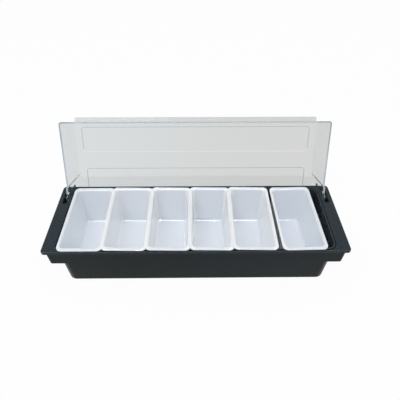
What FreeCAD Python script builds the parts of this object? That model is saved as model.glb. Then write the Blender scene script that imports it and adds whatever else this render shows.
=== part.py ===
import FreeCAD, Part
import math
import os
import Sketcher

# Condiment holder: a moulded tray with six lift-out inserts and a clear hinged lid.
# X runs along the length, -Y is the front and +Z is up. The origin is the centre of the
# tray's underside, below the middle of its flange. All sizes are millimetres and degrees.

INSERT_COUNT = 6

SIZES = [
    ("flange_length", 500, "length of the tray's flange over its two ends"),
    ("flange_width", 162.4, "width of the flange from front to rear"),
    ("flange_thick", 2.8, "thickness of the flange"),
    ("flange_corner", 6, "corner radius of the flange seen from above"),
    ("flange_round", 1.2, "rounding of the flange's top edge"),
    ("flange_overhang", 5, "how far the flange passes the end skirts"),
    ("lip_depth", 5, "height of the turned-down lip round the flange"),
    ("lip_thick", 2.2, "thickness of that lip"),
    ("tray_height", 80, "height of the tray"),
    ("tray_wall", 2.5, "thickness of the basin's walls and of the end skirts"),
    ("floor_thick", 2.5, "thickness of the basin's floor"),
    ("end_margin", 25.25, "flange from each of its ends to the basin's opening"),
    ("front_margin", 6, "flange from its front edge to the opening"),
    ("rear_margin", 12, "flange from its rear edge to the opening"),
    ("opening_corner", 12, "corner radius of the basin's opening"),
    ("end_draft", 5.8, "how far each end of the basin comes in from top to bottom"),
    ("side_draft", 2.5, "how far the front and rear come in from top to bottom"),
    ("bottom_round", 5, "rounding of the basin's outer bottom edge"),
    ("floor_round", 3, "rounding inside the basin's floor"),
    ("bead_height", 0.8, "height of the bead round the opening"),
    ("bead_width", 2, "width of that bead"),
    ("bead_round", 0.6, "rounding of the bead's top"),
    ("groove_width", 1.9, "width of the groove outside the bead"),
    ("groove_depth", 1, "depth of that groove"),
    ("skirt_depth", 32.5, "depth of the end skirts below the flange's top"),
    ("skirt_draft", 2, "how far a skirt's end comes in over its depth"),
    ("skirt_corner", 5, "corner radius of the skirts"),
    ("insert_wall", 1.8, "wall and floor of an insert"),
    ("insert_draft", 3.6, "how far each wall of an insert comes in from top to bottom"),
    ("insert_corner", 8, "outer corner radius of an insert's walls"),
    ("insert_round", 6.2, "outer rounding of an insert's bottom edge"),
    ("insert_play", 1.9, "play of an insert between the opening's front and rear"),
    ("rim_overlap", 2.6, "how far a rim lies over its left neighbour's rim"),
    ("end_gap", 2.65, "gap between the first insert and the basin's left end"),
    ("last_gap", 5, "gap between the fifth and the sixth insert"),
    ("last_turn", 0.9, "turn of the sixth insert, which sits askew"),
    ("channel_width", 12.55, "opening left free beside the sixth insert"),
    ("bottom_gap", 2, "gap between the inserts and the basin's floor"),
    ("seat_gap", 0.1, "gap between a rim and the bead or the rim below it"),
    ("rim_ledge", 5.2, "how far a rim passes the insert's front and rear walls"),
    ("rim_side", 3.4, "how far a rim passes the insert's side walls"),
    ("rim_thick", 1.6, "thickness of a rim"),
    ("rim_corner", 9, "corner radius of a rim"),
    ("rim_round", 0.6, "rounding of the rim's outer top edge"),
    ("mouth_round", 2.8, "rounding of the rim's inner edge"),
    ("hinge_inset", 27, "distance of the hinge pins from the flange's rear edge"),
    ("pin_drop", 6, "depth of the pins below the flange's top"),
    ("pin_radius", 2, "radius of the lid's pins"),
    ("pin_clearance", 0.06, "radial clearance of a pin in its hole"),
    ("boss_radius", 3.4, "radius of the ear's end round the pin"),
    ("boss_thick", 0.6, "how much further in the ear's end stands at the pin"),
    ("slot_width", 8, "width of the ears' slots in the flange"),
    ("slot_corner", 1, "corner radius of the slots"),
    ("slot_gap", 1, "clearance of an ear at the front end of its slot"),
    ("ear_reach", 19, "distance from the pin to where an ear leaves the lid's rim"),
    ("ear_drop", 3.5, "how far an ear hangs below the lid's rim"),
    ("ear_bend", 6.8, "where the ear's lower edge starts to rise, from the pin"),
    ("ear_neck", 9.2, "distance behind the pin of the slot's rear end"),
    ("ear_gap", 1.75, "clearance between an ear and the skirt at the pins' height"),
    ("ear_extra", 0.8, "how much thicker the ears are than the lid's end walls"),
    ("ear_slant", 12, "how far the ear's root leans forward over the lid's height"),
    ("lid_gap", 0.4, "gap under the closed lid and under the open lid's stop"),
    ("lid_height", 45, "height of the lid above its rim"),
    ("lid_wall", 2.5, "wall of the lid"),
    ("lid_overhang", 5, "how far the closed lid passes the flange's front edge"),
    ("lid_tail", 24, "how far the lid's top passes the pins to the rear"),
    ("lid_end_draft", 11.5, "how far each end of the lid comes in over its height"),
    ("lid_front_draft", 8.5, "how far the lid's front comes in over its height"),
    ("lid_tail_draft", 1.5, "how far the lid's rear comes in over its height"),
    ("lid_corner", 5, "corner radius of the lid seen from above"),
    ("lid_round", 4, "rounding round the lid's top"),
    ("tail_lift", 29, "height of the lid's rear edge above the pins"),
    ("open_lean", 20.5, "lean of the open lid past upright"),
    ("grip_thick", 2.5, "thickness of the grip lip along the lid's top front edge"),
    ("grip_corner", 3, "corner radius of the grip lip"),
    ("grip_inset", 4.1, "distance of the grip lip's ends from the top's ends"),
    ("field_height", 0.8, "height of the two raised fields on the lid"),
    ("field_width", 47, "width of a raised field from front to rear"),
    ("field_corner", 5, "corner radius of the raised fields"),
    ("front_field_end", 28.2, "distance of the front field from the lid's ends at the pins"),
    ("rear_field_end", 30.2, "distance of the rear field from the lid's ends at the pins"),
    ("front_field_inset", 18, "distance of the front field from the grip lip's edge"),
    ("field_band", 33, "plain band between the two fields"),
]


def make_sheet(doc):
    """Spreadsheet with the driving dimensions, one alias a row."""
    sheet = doc.addObject("Spreadsheet::Sheet", "sizes")
    for row, (alias, value, meaning) in enumerate(SIZES, start=1):
        sheet.set(f"A{row}", str(value))
        sheet.setAlias(f"A{row}", alias)
        sheet.set(f"B{row}", meaning)
    doc.recompute()
    return sheet


def size(name):
    """Expression for a driving dimension, as a plain number of millimetres or degrees."""
    return f"sizes.{name}"


# Expressions that several pieces share, in millimetres.
FLANGE_TOP = size("tray_height")
FLANGE_UNDER = f"({FLANGE_TOP} - {size('flange_thick')})"
HALF_OPENING = f"({size('flange_length')} / 2 - {size('end_margin')})"
OPENING_FRONT = f"({size('front_margin')} - {size('flange_width')} / 2)"
OPENING_REAR = f"({size('flange_width')} / 2 - {size('rear_margin')})"
OPENING_MIDDLE = f"(({OPENING_FRONT} + {OPENING_REAR}) / 2)"
SKIRT_HALF = f"({size('flange_length')} / 2 - {size('flange_overhang')})"
SKIRT_BOTTOM = f"({FLANGE_TOP} - {size('skirt_depth')})"
DEPTH_SHARE = f"({size('skirt_depth')} / {size('tray_height')})"
PIN_BACK = f"({size('flange_width')} / 2 - {size('hinge_inset')})"
PIN_HEIGHT = f"({FLANGE_TOP} - {size('pin_drop')})"
RIM_LEVEL = f"({size('pin_drop')} + {size('lid_gap')})"
LID_TOP = f"({RIM_LEVEL} + {size('lid_height')})"
END_SLOPE = f"({size('lid_end_draft')} / {size('lid_height')})"
FRONT_SLOPE = f"({size('lid_front_draft')} / {size('lid_height')})"
LID_HALF = f"({SKIRT_HALF} - {size('tray_wall')} - {size('ear_gap')})"
LID_REACH = f"({size('flange_width')} - {size('hinge_inset')} + {size('lid_overhang')})"
TUB_HALF_WIDTH = f"(({OPENING_REAR} - {OPENING_FRONT} - {size('insert_play')}) / 2)"
ROW_LEFT = f"(0 - {HALF_OPENING} + {size('end_gap')} - {size('rim_side')})"
ROW_RIGHT = f"({HALF_OPENING} - {size('channel_width')})"
RIM_LENGTH = (
    f"(({ROW_RIGHT} - {ROW_LEFT} - {size('last_gap')}"
    f" + {INSERT_COUNT - 2} * {size('rim_overlap')}) / {INSERT_COUNT})"
)
RIM_PITCH = f"({RIM_LENGTH} - {size('rim_overlap')})"
RIM_UNDER = f"({FLANGE_TOP} + {size('bead_height')} + {size('seat_gap')})"
RIM_TOP = f"({RIM_UNDER} + {size('rim_thick')})"
RIM_TILT = f"asin(({size('rim_thick')} + {size('seat_gap')}) / {RIM_PITCH})"
INSERT_BOTTOM = f"({size('floor_thick')} + {size('bottom_gap')})"


def origin_plane(body, role):
    """One of the body's own origin planes, by its role."""
    for feature in body.Origin.OriginFeatures:
        if feature.Role == role:
            return feature
    raise ValueError(role)


def new_sketch(body, name, role, offset="0"):
    """Empty sketch on an origin plane of the body, lifted by an offset."""
    sketch = body.newObject("Sketcher::SketchObject", name)
    sketch.AttachmentSupport = [(origin_plane(body, role), "")]
    sketch.MapMode = "FlatFace"
    sketch.setExpression("AttachmentOffset.Base.z", offset)
    return sketch


def value_of(sketch, expression):
    """Present value of a length expression in millimetres."""
    result = sketch.evalExpression(expression)
    return float(getattr(result, "Value", result))


def bind_place(sketch, kind, geometry, point, expression):
    """Hold one coordinate of a sketch point at a signed expression."""
    if value_of(sketch, expression) < 0:
        index = sketch.addConstraint(Sketcher.Constraint(kind, geometry, point, -1, 1, 1.0))
        sketch.setExpression(f"Constraints[{index}]", f"0 - ({expression})")
    else:
        index = sketch.addConstraint(Sketcher.Constraint(kind, -1, 1, geometry, point, 1.0))
        sketch.setExpression(f"Constraints[{index}]", expression)


def add_outline(sketch, left, right, front, rear, corner):
    """Rounded rectangle between four signed places, with one corner radius."""
    x0, x1, y0, y1, r = (value_of(sketch, text) for text in (left, right, front, rear, corner))
    up = FreeCAD.Vector(0, 0, 1)
    first = sketch.GeometryCount
    straight = [
        ((x0 + r, y0), (x1 - r, y0)),
        ((x1, y0 + r), (x1, y1 - r)),
        ((x1 - r, y1), (x0 + r, y1)),
        ((x0, y1 - r), (x0, y0 + r)),
    ]
    for start, end in straight:
        sketch.addGeometry(Part.LineSegment(FreeCAD.Vector(*start, 0), FreeCAD.Vector(*end, 0)))
    middles = [(x1 - r, y0 + r), (x1 - r, y1 - r), (x0 + r, y1 - r), (x0 + r, y0 + r)]
    for turn, middle in enumerate(middles):
        circle = Part.Circle(FreeCAD.Vector(*middle, 0), up, r)
        begin = (turn - 1) * math.pi / 2
        sketch.addGeometry(Part.ArcOfCircle(circle, begin, begin + math.pi / 2))
    for turn in range(4):
        line, arc, after = first + turn, first + 4 + turn, first + (turn + 1) % 4
        sketch.addConstraint(Sketcher.Constraint("Tangent", line, 2, arc, 1))
        sketch.addConstraint(Sketcher.Constraint("Tangent", arc, 2, after, 1))
        level = "Horizontal" if turn % 2 == 0 else "Vertical"
        sketch.addConstraint(Sketcher.Constraint(level, line))
        if turn:
            sketch.addConstraint(Sketcher.Constraint("Equal", first + 4, arc))
    radius = sketch.addConstraint(Sketcher.Constraint("Radius", first + 4, r))
    sketch.setExpression(f"Constraints[{radius}]", corner)
    bind_place(sketch, "DistanceY", first, 1, front)
    bind_place(sketch, "DistanceX", first + 1, 1, right)
    bind_place(sketch, "DistanceY", first + 2, 1, rear)
    bind_place(sketch, "DistanceX", first + 3, 1, left)


def outline_sketch(body, name, height, half_length, front, rear, corner):
    """Rounded rectangle at a height, even to both sides of the YZ plane."""
    sketch = new_sketch(body, name, "XY_Plane", height)
    add_outline(sketch, f"0 - {half_length}", half_length, front, rear, corner)
    return sketch


def centred(half_length, half_width):
    """Left, right, front and rear places of a rectangle round the origin."""
    return f"0 - ({half_length})", half_length, f"0 - ({half_width})", half_width


def polygon_sketch(body, name, role, points, offset="0"):
    """Closed polygon whose corners are pairs of signed expressions."""
    sketch = new_sketch(body, name, role, offset)
    places = [FreeCAD.Vector(value_of(sketch, u), value_of(sketch, v), 0) for u, v in points]
    count = len(points)
    for index in range(count):
        sketch.addGeometry(Part.LineSegment(places[index], places[(index + 1) % count]))
    for index, (u, v) in enumerate(points):
        before = (index - 1) % count
        sketch.addConstraint(Sketcher.Constraint("Coincident", before, 2, index, 1))
        bind_place(sketch, "DistanceX", index, 1, u)
        bind_place(sketch, "DistanceY", index, 1, v)
    return sketch


def circle_sketch(body, name, role, middle, radius, offset="0"):
    """Circle at a pair of signed expressions."""
    sketch = new_sketch(body, name, role, offset)
    place = FreeCAD.Vector(value_of(sketch, middle[0]), value_of(sketch, middle[1]), 0)
    circle = Part.Circle(place, FreeCAD.Vector(0, 0, 1), value_of(sketch, radius))
    sketch.addGeometry(circle)
    index = sketch.addConstraint(Sketcher.Constraint("Radius", 0, value_of(sketch, radius)))
    sketch.setExpression(f"Constraints[{index}]", radius)
    bind_place(sketch, "DistanceX", 0, 3, middle[0])
    bind_place(sketch, "DistanceY", 0, 3, middle[1])
    return sketch


def loft(body, name, lower, upper, adds=True):
    """Straight loft between two sketches, added to the body or cut from it."""
    kind = "PartDesign::AdditiveLoft" if adds else "PartDesign::SubtractiveLoft"
    feature = body.newObject(kind, name)
    feature.Profile = upper
    feature.Sections = [lower]
    feature.Ruled = True
    body.Document.recompute()
    if "Invalid" in feature.State:
        raise RuntimeError(f"{name} failed")
    return feature


def extrude(body, name, sketch, length, adds=True, back=False, both=False):
    """Pad or pocket of a sketch; a pocket has to take material away."""
    before = body.Shape.Volume if body.Tip else 0.0
    feature = body.newObject("PartDesign::Pad" if adds else "PartDesign::Pocket", name)
    feature.Profile = sketch
    feature.setExpression("Length", length)
    feature.Reversed = back
    feature.Midplane = both
    body.Document.recompute()
    changed = body.Shape.Volume - before
    if "Invalid" in feature.State or (changed > 0) != adds:
        raise RuntimeError(f"{name} changed the volume by {changed:.1f}")
    return feature


def round_edges(body, name, radius, chosen):
    """Fillet of the edges for which chosen(edge) is true."""
    base = body.Tip
    names = [f"Edge{n}" for n, edge in enumerate(base.Shape.Edges, start=1) if chosen(edge)]
    if not names:
        raise RuntimeError(f"{name} found no edge")
    feature = body.newObject("PartDesign::Fillet", name)
    feature.Base = (base, names)
    feature.setExpression("Radius", radius)
    body.Document.recompute()
    if "Invalid" in feature.State:
        raise RuntimeError(f"{name} failed")
    return feature


def drafted(body, name, lower, upper, corner, adds=True):
    """Block or hollow between two rounded rectangles of one corner radius.

    Each rectangle is a level and its left, right, front and rear places.
    """
    ends = []
    for end, (level, *sides) in (("low", lower), ("high", upper)):
        sketch = new_sketch(body, f"{name}_{end}", "XY_Plane", level)
        add_outline(sketch, *sides, corner)
        ends.append(sketch)
    return loft(body, name, ends[0], ends[1], adds)


def level_edge(edge, height, half_length=math.inf, half_width=math.inf, reach=0.02):
    """Whether an edge lies level at a height, and all of it within a box in X and Y."""
    box = edge.BoundBox
    if abs(box.ZMin - height) > reach or abs(box.ZMax - height) > reach:
        return False
    far_x = max(abs(box.XMin), abs(box.XMax))
    far_y = max(abs(box.YMin), abs(box.YMax))
    return far_x < half_length and far_y < half_width


def make_tray(doc):
    """Basin, flange with its lip and bead, end skirts, ear slots and pin holes."""
    body = doc.addObject("PartDesign::Body", "tray_body")
    body.Label = "tray"
    wall = size("tray_wall")

    # Basin and skirts as solid blocks; their front and rear faces are flush.
    corner = f"{size('opening_corner')} + {wall}"
    top = outline_sketch(
        body, "basin_top", FLANGE_UNDER, f"({HALF_OPENING} + {wall})",
        f"{OPENING_FRONT} - {wall}", f"{OPENING_REAR} + {wall}", corner,
    )
    bottom = outline_sketch(
        body, "basin_bottom", "0", f"({HALF_OPENING} + {wall} - {size('end_draft')})",
        f"{OPENING_FRONT} - {wall} + {size('side_draft')}",
        f"{OPENING_REAR} + {wall} - {size('side_draft')}", corner,
    )
    loft(body, "basin_block", bottom, top)
    side_in = f"{size('side_draft')} * {DEPTH_SHARE}"
    skirt_low = outline_sketch(
        body, "skirt_low", SKIRT_BOTTOM, f"({SKIRT_HALF} - {size('skirt_draft')})",
        f"{OPENING_FRONT} - {wall} + {side_in}", f"{OPENING_REAR} + {wall} - {side_in}",
        size("skirt_corner"),
    )
    skirt_high = outline_sketch(
        body, "skirt_high", FLANGE_UNDER, SKIRT_HALF,
        f"{OPENING_FRONT} - {wall}", f"{OPENING_REAR} + {wall}", size("skirt_corner"),
    )
    loft(body, "skirt_block", skirt_low, skirt_high)
    round_edges(body, "bottom_rounding", size("bottom_round"), lambda e: level_edge(e, 0))

    # Flange plate with the lip turned down round it.
    half_length = f"({size('flange_length')} / 2)"
    half_width = f"({size('flange_width')} / 2)"
    plate = outline_sketch(
        body, "flange_outline", FLANGE_UNDER, half_length,
        f"0 - {half_width}", half_width, size("flange_corner"),
    )
    extrude(body, "flange", plate, size("flange_thick"))
    lip = outline_sketch(
        body, "lip_outline", f"{FLANGE_TOP} - {size('lip_depth')}", half_length,
        f"0 - {half_width}", half_width, size("flange_corner"),
    )
    thin = size("lip_thick")
    add_outline(
        lip, f"0 - {half_length} + {thin}", f"{half_length} - {thin}",
        f"0 - {half_width} + {thin}", f"{half_width} - {thin}", f"{size('flange_corner')} - {thin}",
    )
    extrude(body, "lip", lip, f"{size('lip_depth')} - {size('flange_thick')} / 2")
    top_height = value_of(body, FLANGE_TOP)
    round_edges(
        body, "flange_rounding", size("flange_round"), lambda e: level_edge(e, top_height),
    )

    # Hollow of each skirt, open below, between the skirt and the basin's end wall.
    basin_low = f"{HALF_OPENING} + {wall} - {size('end_draft')} * {DEPTH_SHARE}"
    low_edges = (basin_low, f"{SKIRT_HALF} - {size('skirt_draft')} - {wall}")
    high_edges = (f"{HALF_OPENING} + {wall}", f"{SKIRT_HALF} - {wall}")
    hollow_corner = f"{size('skirt_corner')} - {wall}"
    for side, sign in (("left", -1), ("right", 1)):
        ends = []
        levels = ((SKIRT_BOTTOM, low_edges, side_in), (FLANGE_UNDER, high_edges, "0"))
        for level, edges, shift in levels:
            sketch = new_sketch(body, f"hollow_{side}_{len(ends)}", "XY_Plane", level)
            x_range = [edges[0], edges[1]]
            if sign < 0:
                x_range = [f"0 - ({edges[1]})", f"0 - ({edges[0]})"]
            add_outline(
                sketch, x_range[0], x_range[1], f"{OPENING_FRONT} + {shift}",
                f"{OPENING_REAR} - {shift}", hollow_corner,
            )
            ends.append(sketch)
        loft(body, f"hollow_{side}", ends[0], ends[1], adds=False)

    # Bead round the opening, the groove outside it, then the inside of the basin.
    bead = outline_sketch(
        body, "bead_outline", FLANGE_UNDER, f"({HALF_OPENING} + {size('bead_width')})",
        f"{OPENING_FRONT} - {size('bead_width')}", f"{OPENING_REAR} + {size('bead_width')}",
        f"{size('opening_corner')} + {size('bead_width')}",
    )
    extrude(body, "bead", bead, f"{size('flange_thick')} + {size('bead_height')}")
    bead_top = value_of(body, f"{FLANGE_TOP} + {size('bead_height')}")
    round_edges(body, "bead_rounding", size("bead_round"), lambda e: level_edge(e, bead_top))
    inner = size("bead_width")
    outer = f"{inner} + {size('groove_width')}"
    groove = outline_sketch(
        body, "groove_outline", FLANGE_TOP, f"({HALF_OPENING} + {outer})",
        f"{OPENING_FRONT} - ({outer})", f"{OPENING_REAR} + {outer}",
        f"{size('opening_corner')} + {outer}",
    )
    add_outline(
        groove, f"0 - ({HALF_OPENING} + {inner})", f"{HALF_OPENING} + {inner}",
        f"{OPENING_FRONT} - {inner}", f"{OPENING_REAR} + {inner}",
        f"{size('opening_corner')} + {inner}",
    )
    extrude(body, "groove", groove, size("groove_depth"), adds=False)
    inner_top = outline_sketch(
        body, "inside_top", f"{FLANGE_TOP} + {size('bead_height')}", HALF_OPENING,
        OPENING_FRONT, OPENING_REAR, size("opening_corner"),
    )
    floor_share = f"(({size('tray_height')} - {size('floor_thick')}) / {size('tray_height')})"
    inner_low = outline_sketch(
        body, "inside_low", size("floor_thick"),
        f"({HALF_OPENING} - {size('end_draft')} * {floor_share})",
        f"{OPENING_FRONT} + {size('side_draft')} * {floor_share}",
        f"{OPENING_REAR} - {size('side_draft')} * {floor_share}", size("opening_corner"),
    )
    loft(body, "inside", inner_low, inner_top, adds=False)
    floor_height = value_of(body, size("floor_thick"))
    round_edges(body, "floor_rounding", size("floor_round"), lambda e: level_edge(e, floor_height))

    # Slots for the lid's ears, beside the skirts' ends, and the holes for its pins.
    slot_front = f"{PIN_BACK} - {size('ear_reach')} - {size('slot_gap')}"
    slot_rear = f"{PIN_BACK} + {size('ear_neck')}"
    slot_outer = f"({SKIRT_HALF} - {wall})"
    slot_inner = f"({slot_outer} - {size('slot_width')})"
    for side, sign in (("left", -1), ("right", 1)):
        sketch = new_sketch(body, f"slot_{side}_outline", "XY_Plane", FLANGE_TOP)
        x_range = [slot_inner, slot_outer]
        if sign < 0:
            x_range = [f"0 - {slot_outer}", f"0 - {slot_inner}"]
        add_outline(sketch, x_range[0], x_range[1], slot_front, slot_rear, size("slot_corner"))
        extrude(body, f"slot_{side}", sketch, size("flange_thick"), adds=False)
        hole = circle_sketch(
            body, f"pin_hole_{side}_outline", "YZ_Plane", (PIN_BACK, PIN_HEIGHT),
            f"{size('pin_radius')} + {size('pin_clearance')}",
            SKIRT_HALF if sign > 0 else f"0 - {SKIRT_HALF}",
        )
        through = f"{wall} + {size('skirt_draft')}"
        extrude(body, f"pin_hole_{side}", hole, through, adds=False, back=sign < 0)
    return body


def make_insert(doc, number):
    """One insert with its rim, hanging in the opening; number counts from the left."""
    body = doc.addObject("PartDesign::Body", f"insert_{number}_body")
    body.Label = f"insert_{number}"
    half_rim = f"({RIM_LENGTH} / 2)"
    half_length = f"({half_rim} - {size('rim_side')})"
    half_width = TUB_HALF_WIDTH
    rim_half_width = f"({TUB_HALF_WIDTH} + {size('rim_ledge')})"
    wall = size("insert_wall")
    draft = size("insert_draft")
    inner_corner = f"{size('insert_corner')} - {wall}"

    # Drafted tub and its rim.
    drafted(
        body, f"tub_{number}",
        (INSERT_BOTTOM, *centred(f"{half_length} - {draft}", f"{half_width} - {draft}")),
        (RIM_UNDER, *centred(half_length, half_width)), size("insert_corner"),
    )
    bottom_height = value_of(body, INSERT_BOTTOM)
    round_edges(
        body, f"bottom_rounding_{number}", size("insert_round"),
        lambda e: level_edge(e, bottom_height),
    )
    rim = outline_sketch(
        body, f"rim_outline_{number}", RIM_UNDER, half_rim,
        f"0 - {rim_half_width}", rim_half_width, size("rim_corner"),
    )
    extrude(body, f"rim_{number}", rim, size("rim_thick"))

    # The inside, with its rounded floor and mouth.
    floor_sides = centred(f"{half_length} - {wall} - {draft}", f"{half_width} - {wall} - {draft}")
    mouth_sides = centred(f"{half_length} - {wall}", f"{half_width} - {wall}")
    drafted(
        body, f"inside_{number}", (f"{INSERT_BOTTOM} + {wall}", *floor_sides),
        (RIM_TOP, *mouth_sides), inner_corner, adds=False,
    )
    floor_height = value_of(body, f"{INSERT_BOTTOM} + {wall}")
    round_edges(
        body, f"floor_rounding_{number}", f"{size('insert_round')} - {wall}",
        lambda e: level_edge(e, floor_height),
    )
    rim_height = value_of(body, RIM_TOP)
    box = [value_of(body, text) + 1 for text in (half_length, half_width)]
    round_edges(
        body, f"mouth_rounding_{number}", size("mouth_round"),
        lambda e: level_edge(e, rim_height, *box),
    )
    round_edges(
        body, f"rim_rounding_{number}", size("rim_round"),
        lambda e: level_edge(e, rim_height) and not level_edge(e, rim_height, *box),
    )

    # Its place in the row. The first lies flat and each of the next leans on its left
    # neighbour's rim, turned about its own right rim; the last stands apart and askew.
    flat = f"{ROW_LEFT} + {half_rim}"
    up = FreeCAD.Vector(0, 0, 1)
    across = FreeCAD.Vector(0, 1, 0)
    if number == INSERT_COUNT:
        body.Placement = FreeCAD.Placement(FreeCAD.Vector(), FreeCAD.Rotation(up, 1))
        body.setExpression("Placement.Rotation.Angle", size("last_turn"))
        body.setExpression("Placement.Base.x", f"{ROW_RIGHT} - {half_rim}")
    elif number == 1:
        body.setExpression("Placement.Base.x", flat)
    else:
        body.Placement = FreeCAD.Placement(FreeCAD.Vector(), FreeCAD.Rotation(across, 1))
        body.setExpression("Placement.Rotation.Angle", RIM_TILT)
        right = f"{flat} + {half_rim} + {number - 1} * {RIM_PITCH}"
        swing = f"{half_rim} * cos({RIM_TILT}) + {RIM_UNDER} * sin({RIM_TILT})"
        lift = f"{half_rim} * sin({RIM_TILT}) + {RIM_UNDER} * (1 - cos({RIM_TILT}))"
        body.setExpression("Placement.Base.x", f"{right} - ({swing})")
        body.setExpression("Placement.Base.z", lift)
    body.setExpression("Placement.Base.y", OPENING_MIDDLE)
    return body


def lid_section(level, end_inset, front_inset, rear):
    """Level and sides of the lid's section, its ends and front drawn in by insets."""
    half = f"({LID_HALF} - {END_SLOPE} * ({level}) - ({end_inset}))"
    front = f"0 - {LID_REACH} + {FRONT_SLOPE} * ({level} - {RIM_LEVEL}) + {front_inset}"
    return level, f"0 - {half}", half, front, rear


def make_lid(doc):
    """Clear lid, drawn closed about its pins' axis and then turned open."""
    body = doc.addObject("PartDesign::Body", "lid_body")
    body.Label = "lid"
    wall = size("lid_wall")
    root = f"(0 - {size('boss_radius')})"
    tail = size("lid_tail")

    # Outer form, drawn down to the ears' lower edge, with its rounded top.
    tail_low = f"{tail} + {size('lid_tail_draft')}"
    drafted(
        body, "block", lid_section(root, "0", "0", tail_low),
        lid_section(LID_TOP, "0", "0", tail), size("lid_corner"),
    )
    top_height = value_of(body, LID_TOP)
    round_edges(body, "top_rounding", size("lid_round"), lambda e: level_edge(e, top_height))

    # Grip lip along the top's front edge; it ends above the lid's front rim.
    grip_half = f"({LID_HALF} - {END_SLOPE} * {LID_TOP} - {size('grip_inset')})"
    grip_root = f"{size('lid_front_draft')} + {size('lid_round')} + {size('grip_corner')}"
    grip = outline_sketch(
        body, "grip_outline", f"{LID_TOP} - {size('grip_thick')}", grip_half,
        f"0 - {LID_REACH}", f"0 - {LID_REACH} + {grip_root}", size("grip_corner"),
    )
    extrude(body, "grip", grip, size("grip_thick"))

    # Two raised fields on the top.
    front_edge = f"(0 - {LID_REACH} + {size('front_field_inset')})"
    rear_start = f"({front_edge} + {size('field_width')} + {size('field_band')})"
    fields = (
        ("front_field", front_edge, f"({LID_HALF} - {size('front_field_end')})"),
        ("rear_field", rear_start, f"({LID_HALF} - {size('rear_field_end')})"),
    )
    for name, start, half in fields:
        sketch = outline_sketch(
            body, f"{name}_outline", LID_TOP, half,
            start, f"{start} + {size('field_width')}", size("field_corner"),
        )
        extrude(body, name, sketch, size("field_height"))

    # Inside: thicker ends behind the ears' slanted root, thinner ones in front of it.
    inner_corner = f"{size('lid_corner')} - {wall}"
    inner_top = f"({LID_TOP} - {wall})"
    thick = f"({wall} + {size('ear_extra')})"
    drafted(
        body, "inside_thick", lid_section(root, thick, wall, f"{tail_low} - {wall}"),
        lid_section(inner_top, thick, wall, f"{tail} - {wall}"), inner_corner, adds=False,
    )
    slant = f"({size('ear_slant')} / {size('lid_height')})"
    root_rear = f"(0 - {size('ear_reach')} + {slant} * ({RIM_LEVEL} - {root}))"
    top_rear = f"(0 - {size('ear_reach')} - {slant} * ({inner_top} - {RIM_LEVEL}))"
    drafted(
        body, "inside_thin", lid_section(root, wall, wall, root_rear),
        lid_section(inner_top, wall, wall, top_rear), inner_corner, adds=False,
    )
    inner_height = value_of(body, inner_top)
    outside = value_of(body, f"{LID_REACH} - {FRONT_SLOPE} * ({inner_top} - {RIM_LEVEL})")
    round_edges(
        body, "inside_rounding", f"{size('lid_round')} - {wall}",
        lambda e: level_edge(e, inner_height, half_width=outside - 1),
    )

    # Hollows behind the raised fields keep the wall even.
    for name, start, half in fields:
        sketch = outline_sketch(
            body, f"{name}_hollow_outline", inner_top, half,
            start, f"{start} + {size('field_width')}", size("field_corner"),
        )
        extrude(body, f"{name}_hollow", sketch, size("field_height"), adds=False, back=True)

    # Side profile: the level rim, the ears down to the pins, the stop that meets the
    # flange when the lid is open, and the lifted rear edge.
    lean_tan = f"tan({size('open_lean')})"
    lean_cos = f"cos({size('open_lean')})"
    lean_sin = f"sin({size('open_lean')})"
    ear_under = f"({RIM_LEVEL} - {size('ear_drop')})"
    stop_far = f"({size('tail_lift')} * {lean_tan} + {RIM_LEVEL} / {lean_cos})"
    neck_out = f"(({size('ear_neck')} - {size('lid_gap')}) * {lean_cos} - {RIM_LEVEL} * {lean_sin})"
    neck_up = f"(({size('ear_neck')} - {size('lid_gap')}) * {lean_sin} + {RIM_LEVEL} * {lean_cos})"
    far = f"({LID_REACH} * 2)"
    below = f"(0 - {size('lid_height')})"
    boss = size("boss_radius")
    profile = polygon_sketch(body, "side_profile", "YZ_Plane", [
        (f"0 - {far}", RIM_LEVEL),
        (f"0 - {size('ear_reach')}", RIM_LEVEL),
        (f"0 - {size('ear_reach')}", ear_under),
        (f"0 - {size('ear_bend')}", ear_under),
        ("0", "0"),
        (f"0 - {neck_up}", neck_out),
        (f"0 - {stop_far}", size("tail_lift")),
        (far, size("tail_lift")),
        (far, below),
        (f"0 - {far}", below),
    ])
    extrude(body, "side_cut", profile, f"{size('flange_length')} * 2", adds=False, both=True)

    # Round ends of the ears and the pins on their outer faces.
    ear_inner = f"({LID_HALF} - {thick} - {size('boss_thick')})"
    pin_end = f"({SKIRT_HALF} - {size('skirt_draft')} / 2)"
    for side, sign in (("left", -1), ("right", 1)):
        offset = ear_inner if sign > 0 else f"0 - {ear_inner}"
        pin = circle_sketch(
            body, f"pin_{side}_outline", "YZ_Plane", ("0", "0"), size("pin_radius"), offset,
        )
        extrude(body, f"pin_{side}", pin, f"{pin_end} - {ear_inner}", back=sign < 0)
        disc = circle_sketch(body, f"boss_{side}_outline", "YZ_Plane", ("0", "0"), boss, offset)
        extrude(body, f"boss_{side}", disc, f"{thick} + {size('boss_thick')}", back=sign < 0)

    # Turned open about the pins.
    body.Placement = FreeCAD.Placement(
        FreeCAD.Vector(), FreeCAD.Rotation(FreeCAD.Vector(1, 0, 0), -1),
    )
    body.setExpression("Placement.Rotation.Angle", f"0 - (90 + {size('open_lean')})")
    body.setExpression("Placement.Base.y", PIN_BACK)
    body.setExpression("Placement.Base.z", PIN_HEIGHT)
    return body


def check(doc, bodies):
    """Stop unless every object was made and every body is one valid solid."""
    for item in doc.Objects:
        states = set(item.State) & {"Invalid", "Error"}
        if states:
            raise RuntimeError(f"{item.Name}: {states}")
    for body in bodies:
        shape = body.Shape
        if shape.isNull() or not shape.isValid() or len(shape.Solids) != 1:
            raise RuntimeError(f"{body.Label} isn't one valid solid")


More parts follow.
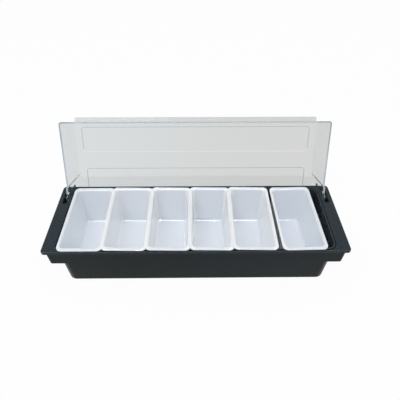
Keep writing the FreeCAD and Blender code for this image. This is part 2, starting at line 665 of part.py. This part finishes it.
def main():
    doc = FreeCAD.newDocument("condiment_holder")
    make_sheet(doc)
    bodies = [make_tray(doc)]
    bodies += [make_insert(doc, number) for number in range(1, INSERT_COUNT + 1)]
    bodies.append(make_lid(doc))
    doc.recompute()
    check(doc, bodies)
    os.makedirs("parts", exist_ok=True)
    for body in bodies:
        body.Shape.exportStep(f"parts/{body.Label}.step")
        box = body.Shape.BoundBox
        print(f"{body.Label}: {box.XLength:.1f} x {box.YLength:.1f} x {box.ZLength:.1f} mm, "
              f"{body.Shape.Volume / 1000:.1f} cm3")


main()
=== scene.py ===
"""Condiment holder: black moulded tray, white lift-out inserts and a clear hinged lid.

The solids of the frame are copied, cleaned and softened along their moulded edges, then
dressed with procedural plastics and shown on a plain pale floor. All sizes are metres in
the frame of the solids.
"""
import logging
import math
from dataclasses import dataclass, field
from enum import Enum

import bpy
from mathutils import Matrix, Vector


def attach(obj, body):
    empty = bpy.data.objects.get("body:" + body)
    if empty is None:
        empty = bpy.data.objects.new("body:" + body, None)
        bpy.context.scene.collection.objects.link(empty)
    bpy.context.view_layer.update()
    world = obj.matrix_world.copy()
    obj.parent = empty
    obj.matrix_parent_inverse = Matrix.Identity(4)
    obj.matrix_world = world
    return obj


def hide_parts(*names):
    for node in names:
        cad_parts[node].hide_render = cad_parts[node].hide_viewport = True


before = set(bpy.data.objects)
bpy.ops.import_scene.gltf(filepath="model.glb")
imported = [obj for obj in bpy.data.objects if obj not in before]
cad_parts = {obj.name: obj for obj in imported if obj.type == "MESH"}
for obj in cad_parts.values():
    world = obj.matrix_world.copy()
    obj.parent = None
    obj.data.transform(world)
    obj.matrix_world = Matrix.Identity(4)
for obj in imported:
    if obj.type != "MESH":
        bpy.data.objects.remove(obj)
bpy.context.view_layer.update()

log = logging.getLogger("condiment_holder")

Pair = tuple[float, float]
Place = tuple[float, float, float]
Colour = tuple[float, float, float, float]
Socket = bpy.types.NodeSocket

WHITE: Colour = (1, 1, 1, 1)
EVEN: Place = (1, 1, 1)


class Relief(Enum):
    """How fine the moulded relief of a plastic is: cycles a metre, and octaves."""

    SATIN = (5200.0, 2.0)
    POLISHED = (900.0, 2.0)
    CAST = (260.0, 1.0)


class Graph:
    """Small helper that grows a material's node tree from left to right."""

    relief_depth = 0.00001

    def __init__(self, name: str) -> None:
        """Start an empty tree with a Principled shader and an output.

        Args:
            name: Name of the new material.
        """
        self.material = bpy.data.materials.new(name)
        self.material.use_nodes = True
        self.nodes = self.material.node_tree.nodes
        self.links = self.material.node_tree.links
        self.nodes.clear()
        self.output = self.nodes.new("ShaderNodeOutputMaterial")
        self.shader = self.nodes.new("ShaderNodeBsdfPrincipled")
        self.links.new(self.shader.outputs["BSDF"], self.output.inputs["Surface"])
        self.place = self.nodes.new("ShaderNodeTexCoord").outputs["Object"]

    def noise(self, scale: float, detail: float, stretch: Place = EVEN) -> Socket:
        """Noise on Object coordinates.

        Args:
            scale: Cycles a metre.
            detail: Octaves of finer noise.
            stretch: Factors on the coordinates along X, Y and Z.

        Returns:
            The noise's value output.
        """
        mapping = self.nodes.new("ShaderNodeMapping")
        mapping.inputs["Scale"].default_value = stretch
        self.links.new(self.place, mapping.inputs["Vector"])
        texture = self.nodes.new("ShaderNodeTexNoise")
        texture.inputs["Scale"].default_value = scale
        texture.inputs["Detail"].default_value = detail
        self.links.new(mapping.outputs["Vector"], texture.inputs["Vector"])
        return texture.outputs["Fac"]

    def ramp(self, value: Socket, low: float = 0.0, high: float = 1.0,
             start: float = 0.3, end: float = 0.7) -> Socket:
        """Spread a value between two limits.

        Args:
            value: Output to read.
            low: Result at and below start.
            high: Result at and above end.
            start: Lower end of the range that is read, by default that of a noise.
            end: Upper end of the range that is read, by default that of a noise.

        Returns:
            The spread value's output.
        """
        spread = self.nodes.new("ShaderNodeMapRange")
        spread.inputs["From Min"].default_value = start
        spread.inputs["From Max"].default_value = end
        spread.inputs["To Min"].default_value = low
        spread.inputs["To Max"].default_value = high
        self.links.new(value, spread.inputs["Value"])
        return spread.outputs["Result"]

    def axis(self, name: str) -> Socket:
        """Place along the Object axis X, Y or Z, in metres."""
        split = self.nodes.new("ShaderNodeSeparateXYZ")
        self.links.new(self.place, split.inputs["Vector"])
        return split.outputs[name]

    def along(self, axis: str, start: float, end: float) -> Socket:
        """Value that rises smoothly from 0 to 1 along one Object axis.

        Args:
            axis: X, Y or Z.
            start: Place of the 0, in metres.
            end: Place of the 1, in metres.

        Returns:
            The rising value's output.
        """
        spread = self.nodes.new("ShaderNodeMapRange")
        spread.interpolation_type = "SMOOTHSTEP"
        spread.inputs["From Min"].default_value = start
        spread.inputs["From Max"].default_value = end
        self.links.new(self.axis(axis), spread.inputs["Value"])
        return spread.outputs["Result"]

    def lay(self, share: Socket, under: Colour | Socket, over: Colour | Socket) -> Socket:
        """Colour laid over another by a share.

        Args:
            share: Output that is 0 for the colour below and 1 for the one above.
            under: The colour below, plain or an output.
            over: The colour above, plain or an output.

        Returns:
            The mixed colour's output.
        """
        mix = self.nodes.new("ShaderNodeMix")
        mix.data_type = "RGBA"
        self.links.new(share, mix.inputs["Factor"])
        for name, colour in (("A", under), ("B", over)):
            if isinstance(colour, tuple):
                mix.inputs[name].default_value = colour
            else:
                self.links.new(colour, mix.inputs[name])
        return mix.outputs["Result"]

    def reckon(self, operation: str, *values: float | Socket) -> Socket:
        """One step of arithmetic.

        Args:
            operation: Name of the sum.
            values: Numbers or outputs, in order.

        Returns:
            The result's output.
        """
        step = self.nodes.new("ShaderNodeMath")
        step.operation = operation
        for socket, value in zip(step.inputs, values):
            if isinstance(value, (int, float)):
                socket.default_value = value
            else:
                self.links.new(value, socket)
        return step.outputs["Value"]

    def hold(self, value: float | Socket, low: float, high: float) -> Socket:
        """Keep a value between two limits.

        Args:
            value: Number or output.
            low: Lower limit.
            high: Upper limit.

        Returns:
            The held value's output.
        """
        return self.reckon("MINIMUM", self.reckon("MAXIMUM", value, low), high)

    def roughness(self, patches: Pair, shiny: float, dull: float) -> None:
        """Let the roughness wander in patches.

        Args:
            patches: Cycles a metre, and octaves.
            shiny: Lowest roughness.
            dull: Highest roughness.
        """
        self.feed("Roughness", self.ramp(self.noise(*patches), shiny, dull))

    def relief(self, grain: Relief, strength: float, stretch: Place = EVEN) -> None:
        """Raise a moulded relief on the surface.

        Args:
            grain: How fine it is.
            strength: Share of the relief's depth that shows.
            stretch: Factors on the coordinates along X, Y and Z.
        """
        bump = self.nodes.new("ShaderNodeBump")
        bump.inputs["Distance"].default_value = self.relief_depth
        bump.inputs["Strength"].default_value = strength
        self.links.new(self.noise(*grain.value, stretch), bump.inputs["Height"])
        self.feed("Normal", bump.outputs["Normal"])

    def feed(self, socket: str, value: Socket) -> None:
        """Link a value or colour output to a socket of the shader."""
        self.links.new(value, self.shader.inputs[socket])

    def fix(self, **values: float | Place | Colour) -> None:
        """Set plain values on the shader's own sockets; underscores stand for spaces."""
        for name, value in values.items():
            self.shader.inputs[name.replace("_", " ")].default_value = value


@dataclass(frozen=True)
class Outline:
    """A rounded rectangle on a moulding, with its length along X, and a line drawn on it."""

    middle: float
    half_length: float
    half_width: float
    corner: float
    spread: float = 0.0008

    def reach(self, graph: Graph, across: Socket, along: Socket) -> Socket:
        """How far a place lies outside the outline, below 0 inside it.

        Args:
            graph: Graph of the finish.
            across: Output with the place along X.
            along: Output with the place square to X.

        Returns:
            The distance's output, in metres.
        """
        over = graph.reckon("SUBTRACT", graph.reckon("ABSOLUTE", across),
                            self.half_length - self.corner)
        span = graph.reckon("ABSOLUTE", graph.reckon("SUBTRACT", along, self.middle))
        up = graph.reckon("SUBTRACT", span, self.half_width - self.corner)
        past_over = graph.reckon("POWER", graph.reckon("MAXIMUM", over, 0.0), 2.0)
        past_up = graph.reckon("POWER", graph.reckon("MAXIMUM", up, 0.0), 2.0)
        outside = graph.reckon("SQRT", graph.reckon("ADD", past_over, past_up))
        inside = graph.reckon("MINIMUM", graph.reckon("MAXIMUM", over, up), 0.0)
        return graph.reckon("SUBTRACT", graph.reckon("ADD", outside, inside), self.corner)

    def line(self, graph: Graph, across: Socket, along: Socket) -> Socket:
        """How much the outline shows, 1 on it and 0 beyond its spread.

        Args:
            graph: Graph of the finish.
            across: Output with the place along X.
            along: Output with the place square to X.

        Returns:
            The share's output.
        """
        gap = graph.reckon("ABSOLUTE", self.reach(graph, across, along))
        near = graph.reckon("DIVIDE", gap, self.spread)
        return graph.reckon("MAXIMUM", graph.reckon("SUBTRACT", 1.0, near), 0.0)


@dataclass(frozen=True)
class OpenLid:
    """Where the open lid stands: the axis of its pins and the lean of its top."""

    pin_back: float = 0.0542
    pin_height: float = 0.074
    lean: float = math.radians(20.5)

    def from_pins(self, point: Vector) -> Pair:
        """How far a point stands from the pins, along the lid and towards its top.

        Args:
            point: Place on the open lid.

        Returns:
            The two distances in metres.
        """
        back, up = point.y - self.pin_back, point.z - self.pin_height
        sine, cosine = math.sin(self.lean), math.cos(self.lean)
        return back * sine + up * cosine, back * cosine - up * sine

    def up_the_lid(self, graph: Graph) -> Socket:
        """How far a place stands from the pins along the lid.

        Args:
            graph: Graph of the finish.

        Returns:
            The distance's output, in metres.
        """
        sine, cosine = math.sin(self.lean), math.cos(self.lean)
        back = graph.reckon("MULTIPLY", graph.axis("Y"), sine)
        rise = graph.reckon("MULTIPLY", graph.axis("Z"), cosine)
        pins = self.pin_back * sine + self.pin_height * cosine
        return graph.reckon("SUBTRACT", graph.reckon("ADD", back, rise), pins)


@dataclass(frozen=True)
class BlackPlastic:
    """Semi-gloss black of the tray with worn patches, a painted lighter flange top and upper
    basin, a painted bead highlight and painted groove shade.
    """

    name: str = "black_moulded_plastic"
    deep: Colour = (0.0030, 0.0065, 0.0080, 1)
    worn: Colour = (0.0055, 0.0105, 0.0130, 1)
    painted_top_light: Colour = (0.0190, 0.0300, 0.0370, 1)
    painted_basin_light: Colour = (0.0290, 0.0360, 0.0410, 1)
    ridge: Colour = (0.0560, 0.0730, 0.0850, 1)
    painted_groove_shade: Colour = (0.0015, 0.0025, 0.0030, 1)
    opening: Outline = Outline(-0.0030, 0.22475, 0.0722, 0.012)
    opening_inset: float = 0.0002
    bead: Outline = Outline(-0.0030, 0.22575, 0.0732, 0.013, 0.0012)
    groove: Outline = Outline(-0.0030, 0.22770, 0.07515, 0.01495, 0.0013)
    groove_gain: float = 2.0
    basin_rise: Pair = (0.010, 0.078)
    flange_rise: Pair = (0.066, 0.080)
    crest_rise: Pair = (0.0797, 0.0801)
    patches: Pair = (9.0, 4.0)
    gloss_patches: Pair = (31.0, 5.0)
    shiny: float = 0.23
    dull: float = 0.33
    grain: Relief = Relief.SATIN
    grain_share: float = 0.08
    refraction: float = 1.5
    gloss_level: float = 0.13

    def material(self) -> bpy.types.Material:
        """Build the tray's material."""
        graph = Graph(self.name)
        colour = graph.lay(graph.ramp(graph.noise(*self.patches)), self.deep, self.worn)
        across, back = graph.axis("X"), graph.axis("Y")
        reach = self.opening.reach(graph, across, back)
        within = graph.reckon("LESS_THAN", reach, -self.opening_inset)
        basin = graph.reckon("MULTIPLY", within, graph.along("Z", *self.basin_rise))
        # Painted light: inside the opening the basin walls grow lighter towards the top and stay
        # dark deep down.
        colour = graph.lay(basin, colour, self.painted_basin_light)
        high = graph.along("Z", *self.flange_rise)
        # Painted light: the flange at the top is coloured lighter than the walls below it.
        colour = graph.lay(graph.reckon("SUBTRACT", high, within), colour, self.painted_top_light)
        # Painted highlight along the crest of the bead at the opening's edge.
        crest = graph.along("Z", *self.crest_rise)
        line = graph.reckon("MULTIPLY", self.bead.line(graph, across, back), crest)
        colour = graph.lay(line, colour, self.ridge)
        # Painted shade: a dark line in the groove just outside the bead.
        groove_shade = graph.reckon("MULTIPLY", self.groove.line(graph, across, back), self.groove_gain)
        groove_shade = graph.reckon("MULTIPLY", graph.reckon("MINIMUM", groove_shade, 1.0), high)
        graph.feed("Base Color", graph.lay(groove_shade, colour, self.painted_groove_shade))
        graph.roughness(self.gloss_patches, self.shiny, self.dull)
        graph.relief(self.grain, self.grain_share)
        graph.fix(IOR=self.refraction, Specular_IOR_Level=self.gloss_level)
        return graph.material


@dataclass(frozen=True)
class WhitePlastic:
    """Glossy white of the inserts, with a painted glow where a neighbour's white wall stands
    behind.

    The ridges are the places along X where two inserts meet. The last insert stands
    further from the one before it, by the last ridge's width.
    """

    name: str = "white_moulded_plastic"
    bright: Colour = (0.866, 0.898, 0.950, 1)
    soft: Colour = (0.846, 0.882, 0.939, 1)
    painted_glow: Colour = (0.984, 0.993, 1.0, 1)
    ridges: int = 5
    first_ridge: float = -0.15294
    ridge_pitch: float = 0.07125
    last_ridge_width: float = 0.0065
    wall_fade: Pair = (0.0072, 0.0110)
    patches: Pair = (14.0, 3.0)
    gloss_patches: Pair = (45.0, 4.0)
    shiny: float = 0.09
    dull: float = 0.15
    grain: Relief = Relief.POLISHED
    grain_share: float = 0.04
    refraction: float = 1.46
    gloss_level: float = 0.8
    milkiness: float = 0.25
    milk_depth: float = 0.005

    def neighbour_glow(self, graph: Graph) -> Socket:
        """How much painted glow a wall gets, for the light through a neighbour's white wall
        behind it.

        Args:
            graph: Graph of this finish.

        Returns:
            The share's output, 1 at such a wall and 0 away from it.
        """
        last = self.ridges - 1
        past = graph.reckon("SUBTRACT", graph.axis("X"), self.first_ridge)
        number = graph.reckon("ROUND", graph.reckon("DIVIDE", past, self.ridge_pitch))
        nearest = graph.reckon("MULTIPLY", graph.hold(number, 0.0, last), self.ridge_pitch)
        beyond = graph.reckon("SUBTRACT", past, last * self.ridge_pitch)
        nearest = graph.reckon("ADD", nearest, graph.hold(beyond, 0.0, self.last_ridge_width))
        gap = graph.reckon("ABSOLUTE", graph.reckon("SUBTRACT", past, nearest))
        return graph.ramp(gap, 1.0, 0.0, *self.wall_fade)

    def material(self) -> bpy.types.Material:
        """Build the inserts' material."""
        graph = Graph(self.name)
        colour = graph.lay(graph.ramp(graph.noise(*self.patches)), self.bright, self.soft)
        # Painted light: walls backed by a neighbouring insert get a lighter white, a painted
        # glow.
        graph.feed("Base Color", graph.lay(self.neighbour_glow(graph), colour, self.painted_glow))
        graph.roughness(self.gloss_patches, self.shiny, self.dull)
        graph.relief(self.grain, self.grain_share)
        graph.fix(IOR=self.refraction, Specular_IOR_Level=self.gloss_level)
        graph.fix(Subsurface_Weight=self.milkiness, Subsurface_Scale=self.milk_depth,
                  Subsurface_Radius=EVEN)
        return graph.material


@dataclass(frozen=True)
class ClearPlastic:
    """Clear tinted plastic of the lid, with faint flow lines and its fields' outlines in painted
    shade and painted highlight.
    """

    name: str = "clear_lid_plastic"
    cool_end: Colour = (0.692, 0.720, 0.728, 1)
    plain_end: Colour = (0.655, 0.664, 0.656, 1)
    tint_span: Pair = (-0.26, 0.16)
    painted_step_shade: Colour = (0.40, 0.43, 0.44, 1)
    painted_step_highlight: Colour = (0.95, 0.96, 0.96, 1)
    stand: OpenLid = OpenLid()
    fields: tuple[Outline, Outline] = (
        Outline(0.0989, 0.21255, 0.0235, 0.005),
        Outline(0.0189, 0.21055, 0.0235, 0.005),
    )
    gloss_patches: Pair = (40.0, 4.0)
    shiny: float = 0.004
    dull: float = 0.018
    flow: Relief = Relief.CAST
    flow_share: float = 0.012
    flow_stretch: Place = (0.12, 1, 1)
    refraction: float = 1.49

    def material(self) -> bpy.types.Material:
        """Build the lid's material."""
        graph = Graph(self.name)
        tint = graph.lay(graph.along("X", *self.tint_span), self.cool_end, self.plain_end)
        for raised in self.fields:
            tint = self.outlined(graph, tint, raised)
        graph.feed("Base Color", tint)
        graph.roughness(self.gloss_patches, self.shiny, self.dull)
        graph.relief(self.flow, self.flow_share, self.flow_stretch)
        graph.fix(IOR=self.refraction, Transmission_Weight=1.0)
        return graph.material

    def outlined(self, graph: Graph, tint: Socket, raised: Outline) -> Socket:
        """Tint with one raised field's outline, in painted shade at its top and a painted
        highlight at its foot.

        Args:
            graph: Graph of this finish.
            tint: Output with the tint so far.
            raised: The field.

        Returns:
            The new tint's output.
        """
        along = self.stand.up_the_lid(graph)
        line = raised.line(graph, graph.axis("X"), along)
        foot = raised.middle - raised.half_width + raised.corner
        low = graph.reckon("LESS_THAN", along, foot)
        # Painted highlight on the outline's foot, painted shade on the rest of it.
        return graph.lay(line, tint, graph.lay(low, self.painted_step_shade, self.painted_step_highlight))


@dataclass(frozen=True)
class CutEdge:
    """Satin edge of the clear plastic, coloured with painted light for the light it gathers from
    the whole wall: a painted glow low down, painted shade high up.
    """

    name: str = "clear_lid_edge"
    near: Colour = (0.64, 0.74, 0.84, 1)
    far: Colour = (0.52, 0.585, 0.63, 1)
    tint_span: Pair = (0.12, 0.19)
    gloss_patches: Pair = (60.0, 3.0)
    shiny: float = 0.22
    dull: float = 0.35
    refraction: float = 1.49
    clearness: float = 0.25

    def material(self) -> bpy.types.Material:
        """Build the edge's material."""
        graph = Graph(self.name)
        height = graph.along("Z", *self.tint_span)
        # Painted light: the edge glows low down and on the ears, and is shaded along the high
        # rim.
        graph.feed("Base Color", graph.lay(height, self.near, self.far))
        graph.roughness(self.gloss_patches, self.shiny, self.dull)
        graph.fix(IOR=self.refraction, Transmission_Weight=self.clearness)
        return graph.material


@dataclass(frozen=True)
class PaleGround:
    """Floor that shows white to the eye and in gloss, and keeps the object's shadow."""

    name: str = "pale_floor"
    colour: Colour = (0.86, 0.87, 0.88, 1)
    dull: float = 0.9
    share: float = 0.955

    def material(self) -> bpy.types.Material:
        """Build the floor's material."""
        graph = Graph(self.name)
        graph.fix(Base_Color=self.colour, Roughness=self.dull, Specular_IOR_Level=0.0)
        light = graph.nodes.new("ShaderNodeEmission")
        light.inputs["Color"].default_value = WHITE
        mix = graph.nodes.new("ShaderNodeMixShader")
        share = graph.reckon("MULTIPLY", seen_rays(graph.nodes, graph.links), self.share)
        graph.links.new(share, mix.inputs["Fac"])
        graph.links.new(graph.shader.outputs["BSDF"], mix.inputs[1])
        graph.links.new(light.outputs["Emission"], mix.inputs[2])
        graph.links.new(mix.outputs["Shader"], graph.output.inputs["Surface"])
        return graph.material


def seen_rays(nodes: bpy.types.Nodes, links: bpy.types.NodeLinks) -> Socket:
    """Whether a ray comes from the camera, a gloss or a clear piece.

    Args:
        nodes: Nodes of the tree to add to.
        links: Links of the same tree.

    Returns:
        An output that is 1 for those rays and 0 for the others.
    """
    path = nodes.new("ShaderNodeLightPath")
    value = path.outputs["Is Camera Ray"]
    for kind in ("Is Glossy Ray", "Is Transmission Ray"):
        most = nodes.new("ShaderNodeMath")
        most.operation = "MAXIMUM"
        links.new(value, most.inputs[0])
        links.new(path.outputs[kind], most.inputs[1])
        value = most.outputs["Value"]
    return value


def select_only(piece: bpy.types.Object) -> None:
    """Deselect everything, then select one piece and make it active."""
    bpy.ops.object.select_all(action="DESELECT")
    piece.select_set(True)
    bpy.context.view_layer.objects.active = piece


@dataclass
class MouldedPiece:
    """A solid of the frame made ready to look at: welded, softened and smooth."""

    node: str
    body: str
    slot: str
    softening: float
    sharp_angle: float = math.radians(32)
    flat_angle: float = math.radians(0.2)
    weld_distance: float = 1e-6
    rounding_steps: int = 2

    def welded_copy(self) -> bpy.types.Object:
        """Copy the solid and weld its loose triangles into clean faces.

        Returns:
            The new object, at the origin as the solid is.
        """
        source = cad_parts[self.node]
        piece = bpy.data.objects.new(f"{self.node}_shell", source.data.copy())
        bpy.context.scene.collection.objects.link(piece)
        piece.data.materials.clear()
        select_only(piece)
        bpy.ops.object.mode_set(mode="EDIT")
        bpy.ops.mesh.select_all(action="SELECT")
        bpy.ops.mesh.remove_doubles(threshold=self.weld_distance)
        bpy.ops.mesh.dissolve_limited(angle_limit=self.flat_angle)
        bpy.ops.object.mode_set(mode="OBJECT")
        return piece

    def soften(self, piece: bpy.types.Object) -> None:
        """Round the sharp edges a little and smooth the shading.

        Args:
            piece: Welded copy of the solid.
        """
        select_only(piece)
        bevel = piece.modifiers.new("edge_softening", "BEVEL")
        bevel.limit_method = "ANGLE"
        bevel.angle_limit = self.sharp_angle
        bevel.width = self.softening
        bevel.segments = self.rounding_steps
        bevel.use_clamp_overlap = True
        bpy.ops.object.modifier_apply(modifier=bevel.name)
        bpy.ops.object.shade_smooth_by_angle(angle=self.sharp_angle)
        weigh = piece.modifiers.new("even_shading", "WEIGHTED_NORMAL")
        weigh.keep_sharp = True
        bpy.ops.object.modifier_apply(modifier=weigh.name)

    def build(self, material: bpy.types.Material) -> bpy.types.Object:
        """Make, dress and place the piece.

        Args:
            material: Plastic that covers it.

        Returns:
            The finished piece, riding on its body in the solid's place.
        """
        piece = self.welded_copy()
        self.soften(piece)
        piece.data.materials.append(material)
        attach(piece, self.body)
        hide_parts(self.node)
        log.info("%s: %d faces", piece.name, len(piece.data.polygons))
        return piece


@dataclass
class TrayAssembly:
    """The black tray with its flange, end skirts and basin."""

    finish: BlackPlastic = field(default_factory=BlackPlastic)
    softening: float = 0.0003

    def build(self) -> list[bpy.types.Object]:
        """Build the tray's shell."""
        material = self.finish.material()
        return [MouldedPiece("tray", "base", "tray", self.softening).build(material)]


@dataclass
class InsertRow:
    """The white inserts that hang side by side in the tray."""

    count: int = 6
    finish: WhitePlastic = field(default_factory=WhitePlastic)
    softening: float = 0.0003

    def build(self) -> list[bpy.types.Object]:
        """Build the inserts from left to right."""
        material = self.finish.material()
        names = [f"insert_{number}" for number in range(1, self.count + 1)]
        row = [MouldedPiece(name, "base", "insert", self.softening) for name in names]
        return [piece.build(material) for piece in row]


@dataclass
class ClearLid:
    """The clear lid with its ears and pins."""

    finish: ClearPlastic = field(default_factory=ClearPlastic)
    edge: CutEdge = field(default_factory=CutEdge)
    stand: OpenLid = field(default_factory=OpenLid)
    softening: float = 0.00035
    rim_level: float = 0.0064
    rim_band: float = 0.0005
    ear_foot: float = 0.008
    broadside: float = 0.8

    def dress_edges(self, piece: bpy.types.Object) -> None:
        """Give the rim's edge and the narrow faces of the ears the edge's finish.

        Args:
            piece: The lid's shell, already in its clear plastic.
        """
        piece.data.materials.append(self.edge.material())
        marked = 0
        for face in piece.data.polygons:
            along, level = self.stand.from_pins(face.center)
            on_rim = abs(level - self.rim_level) < self.rim_band
            on_ear = level < self.rim_level and along > self.ear_foot
            if on_rim or (on_ear and abs(face.normal.x) < self.broadside):
                face.material_index = 1
                marked += 1
        log.info("%s: %d edge faces", piece.name, marked)

    def build(self) -> list[bpy.types.Object]:
        """Build the lid's shell and dress its edges."""
        shell = MouldedPiece("lid", "lid", "lid", self.softening).build(self.finish.material())
        self.dress_edges(shell)
        return [shell]


@dataclass(frozen=True)
class SoftLamp:
    """An area lamp with its place, its length and width, and its power in watts."""

    name: str
    place: Place
    sides: Pair
    power: float
    gloss_only: bool = False
    aim: Place = (0, 0, 0.05)

    def hang(self) -> None:
        """Hang the lamp and turn it to the point that it faces."""
        light = bpy.data.lights.new(self.name, "AREA")
        light.shape = "RECTANGLE"
        light.size, light.size_y = self.sides
        light.energy = self.power
        lamp = bpy.data.objects.new(self.name, light)
        lamp.visible_diffuse = not self.gloss_only
        bpy.context.scene.collection.objects.link(lamp)
        reach = [b - a for a, b in zip(self.place, self.aim)]
        lamp.location = self.place
        level = math.hypot(reach[0], reach[1])
        lamp.rotation_euler = (math.atan2(level, -reach[2]), 0, math.atan2(-reach[0], reach[1]))


@dataclass
class Studio:
    """Floor, soft lamps and the light of the room."""

    floor_size: float = 14.0
    floor_drop: float = 0.0004
    room: Colour = (0.93, 0.965, 1.0, 1)
    room_light: float = 0.69
    ground: PaleGround = field(default_factory=PaleGround)
    lamps: tuple[SoftLamp, ...] = (
        SoftLamp("key_lamp", (-0.6, -0.7, 1.6), (1.0, 1.0), 6.0),
        SoftLamp("long_lamp", (0.05, -0.05, 1.6), (2.0, 0.22), 3.8),
        SoftLamp("glint_lamp", (0, 0, 1.6), (2.0, 0.12), 75.0, gloss_only=True),
    )

    def floor(self) -> None:
        """Lay the pale floor under the tray."""
        bpy.ops.object.select_all(action="DESELECT")
        bpy.ops.mesh.primitive_plane_add(size=self.floor_size, location=(0, 0, -self.floor_drop))
        floor = bpy.context.active_object
        floor.name = "floor"
        bpy.ops.object.transform_apply(location=True, rotation=True, scale=True)
        floor.data.materials.append(self.ground.material())

    def sky(self) -> None:
        """Light the room evenly; the eye, gloss and clear pieces see it white."""
        world = bpy.data.worlds.new("room")
        bpy.context.scene.world = world
        world.use_nodes = True
        nodes, links = world.node_tree.nodes, world.node_tree.links
        nodes.clear()
        output = nodes.new("ShaderNodeOutputWorld")
        mix = nodes.new("ShaderNodeMixShader")
        links.new(seen_rays(nodes, links), mix.inputs["Fac"])
        lights = ((self.room, self.room_light), (WHITE, 1.0))
        for socket, (colour, strength) in zip(mix.inputs[1:], lights):
            light = nodes.new("ShaderNodeBackground")
            light.inputs["Color"].default_value = colour
            light.inputs["Strength"].default_value = strength
            links.new(light.outputs["Background"], socket)
        links.new(mix.outputs["Shader"], output.inputs["Surface"])

    def build(self) -> None:
        """Set up the floor, the room and the lamps."""
        self.floor()
        self.sky()
        for lamp in self.lamps:
            lamp.hang()


@dataclass
class Viewpoint:
    """Camera at the photograph's place; its turns are in degrees."""

    place: Place = (0.00014, -0.48746, 0.56514)
    tilt: float = 47.481
    roll: float = -0.149
    turn: float = -0.616
    focal_length: float = 35.34
    sensor: float = 36.0
    clip: Pair = (0.01, 60.0)

    def build(self) -> None:
        """Place the camera and make it the scene's own."""
        data = bpy.data.cameras.new("viewpoint")
        data.lens = self.focal_length
        data.sensor_width = self.sensor
        data.sensor_fit = "HORIZONTAL"
        data.clip_start, data.clip_end = self.clip
        camera = bpy.data.objects.new("viewpoint", data)
        camera.location = self.place
        camera.rotation_euler = [math.radians(turn) for turn in (self.tilt, self.roll, self.turn)]
        bpy.context.scene.collection.objects.link(camera)
        bpy.context.scene.camera = camera


def main() -> None:
    """Build each assembly in order, then the studio and the camera."""
    logging.basicConfig(level=logging.INFO, format="%(name)s: %(message)s")
    bpy.context.scene.view_settings.view_transform = "Standard"
    for assembly in (TrayAssembly(), InsertRow(), ClearLid()):
        pieces = assembly.build()
        log.info("%s: %d pieces", type(assembly).__name__, len(pieces))
    Studio().build()
    Viewpoint().build()


if __name__ == "__main__":
    main()
